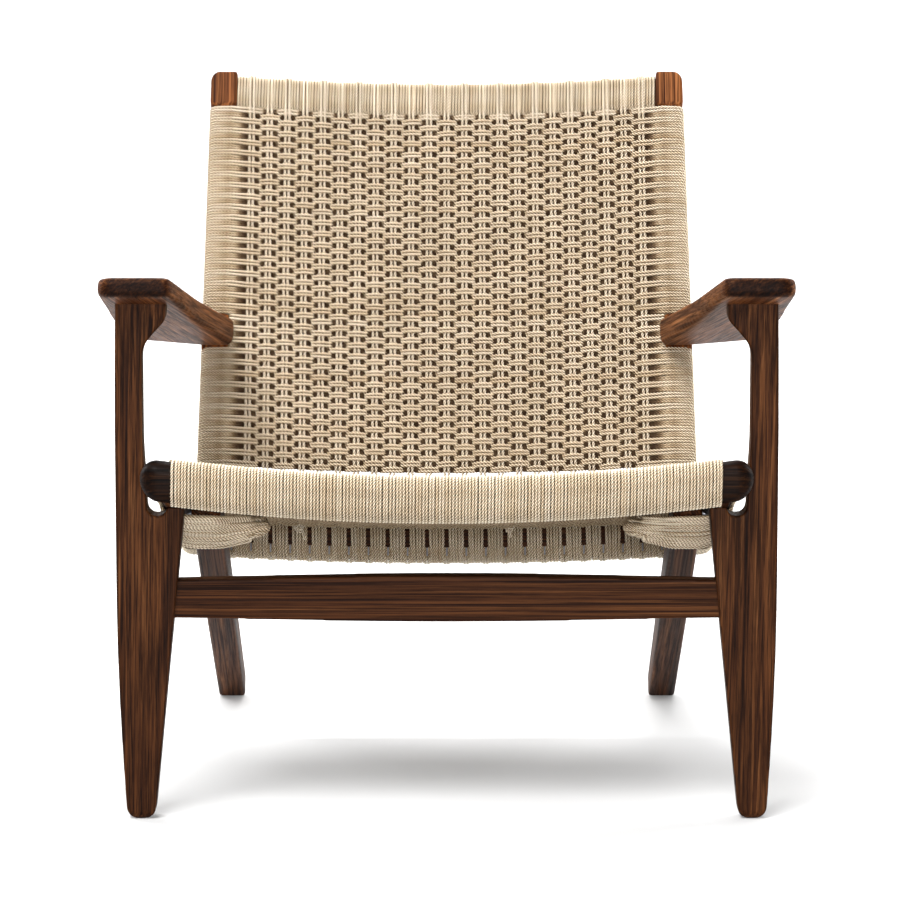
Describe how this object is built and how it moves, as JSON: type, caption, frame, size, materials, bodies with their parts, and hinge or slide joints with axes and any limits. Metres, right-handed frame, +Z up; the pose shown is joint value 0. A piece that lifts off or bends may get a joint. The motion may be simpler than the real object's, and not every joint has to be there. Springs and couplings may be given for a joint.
{
  "type": "wooden armchair",
  "caption": "Low walnut lounge armchair with a woven natural paper-cord seat and back, forked front legs and sloping armrests.",
  "frame": {"origin": "on the floor, midway along the width and the depth", "axes": "+X to the right seen from the front, +Y towards the back, +Z up; the chair faces -Y"},
  "size_m": [0.71, 0.7299, 0.73],
  "materials": {
    "walnut": "oiled satin",
    "cord": "matt twisted cord",
    "dowel": "plain",
    "steel": "bright zinc"
  },
  "bodies": {
    "root": {"front_leg_left": "walnut", "front_leg_right": "walnut", "rear_leg_left": "walnut", "rear_leg_right": "walnut", "armrest_left": "walnut", "armrest_right": "walnut", "front_stretcher": "walnut", "rear_stretcher": "walnut", "seat_front_rail": "walnut", "seat_rear_rail": "walnut", "seat_side_rail_left": "walnut", "seat_side_rail_right": "walnut", "back_stile_left": "walnut", "back_stile_right": "walnut", "back_top_rail": "walnut", "back_bottom_rail": "walnut", "arm_front_dowel_left": "dowel", "arm_front_dowel_right": "dowel", "arm_rear_dowels_left": "dowel", "arm_rear_dowels_right": "dowel", "prong_dowel_left": "dowel", "prong_dowel_right": "dowel", "leg_head_bolts_left": "steel", "leg_head_bolts_right": "steel", "seat_bolt_left": "steel", "seat_bolt_right": "steel", "stile_foot_bolt_left": "steel", "stile_foot_bolt_right": "steel", "seat_nails": "steel", "seat_weave": "cord", "back_weave": "cord", "front_rail_wrap": "cord", "rear_rail_wrap": "cord", "top_rail_wrap": "cord", "bottom_rail_wrap": "cord", "stile_wrap_left": "cord", "stile_wrap_right": "cord", "side_rail_wrap_left": "cord", "side_rail_wrap_right": "cord", "cord_bundle_left": "cord", "cord_bundle_right": "cord"}
  },
  "joints": []
}
